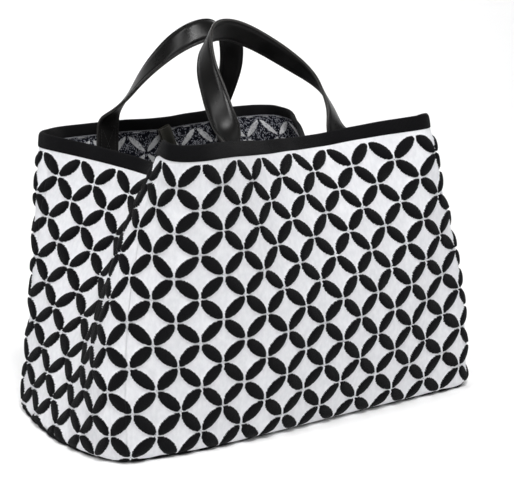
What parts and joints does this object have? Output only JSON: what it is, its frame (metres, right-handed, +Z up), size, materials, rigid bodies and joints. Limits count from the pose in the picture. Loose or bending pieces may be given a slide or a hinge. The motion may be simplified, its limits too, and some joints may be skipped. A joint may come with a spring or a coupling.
{
  "type": "knitting bag",
  "caption": "Soft knitted tote with a petal lattice pattern, ribbed rim band, twisted leather loop handles and snap closure tabs inside the mouth.",
  "frame": {"origin": "middle of the underside, on the surface the bag stands on", "axes": "+X along the bag's length to the right, +Y from the front to the back, +Z up"},
  "size_m": [0.4391, 0.2605, 0.3852],
  "materials": {
    "knit": "soft matte jacquard knit, white ground with near-black petals, reversed on the inside",
    "rib_band": "matte black ribbed knit binding",
    "leather": "smooth semi-gloss black leather with a line along each edge",
    "leather_lining": "plain dark leather, less glossy",
    "thread": "waxed black thread",
    "board": "matte dark board",
    "snap_metal": "bright nickel"
  },
  "bodies": {
    "root": {"front_panel": "knit", "back_panel": "knit", "left_gusset": "knit", "right_gusset": "knit", "base_panel": "knit", "base_board": "board", "rim_band": "rib_band", "front_handle_left_anchor": "leather", "front_handle_left_anchor_stitching": "thread", "front_handle_right_anchor": "leather", "front_handle_right_anchor_stitching": "thread", "back_handle_left_anchor": "leather", "back_handle_left_anchor_stitching": "thread", "back_handle_right_anchor": "leather", "back_handle_right_anchor_stitching": "thread"},
    "front_handle": {"front_handle_strap": "leather", "front_handle_lining": "leather_lining"},
    "back_handle": {"back_handle_strap": "leather", "back_handle_lining": "leather_lining"},
    "back_tab": {"closure_tab_back": "leather", "snap_socket": "snap_metal", "snap_socket_washer": "snap_metal"},
    "front_tab": {"closure_tab_front": "leather", "snap_stud": "snap_metal", "snap_stud_washer": "snap_metal"}
  },
  "joints": [
    {"name": "front_handle_swing", "type": "hinge", "parent": "root", "child": "front_handle", "pos_m": [-0.08578, -0.09307, 0.28423], "axis": [0.9756, 0.2154, -0.0414], "range_deg": [-10, 95]},
    {"name": "back_handle_swing", "type": "hinge", "parent": "root", "child": "back_handle", "pos_m": [-0.0903, 0.12811, 0.27856], "axis": [-0.9997, -0.0064, -0.0248], "range_deg": [-10, 95]},
    {"name": "back_tab_swing", "type": "hinge", "parent": "root", "child": "back_tab", "pos_m": [-0.02444, 0.12578, 0.26136], "axis": [-0.9397, 0, -0.342], "range_deg": [0, 65]},
    {"name": "front_tab_swing", "type": "hinge", "parent": "root", "child": "front_tab", "pos_m": [-0.00431, -0.06563, 0.25908], "axis": [0.9397, 0, 0.342], "range_deg": [0, 65]}
  ]
}
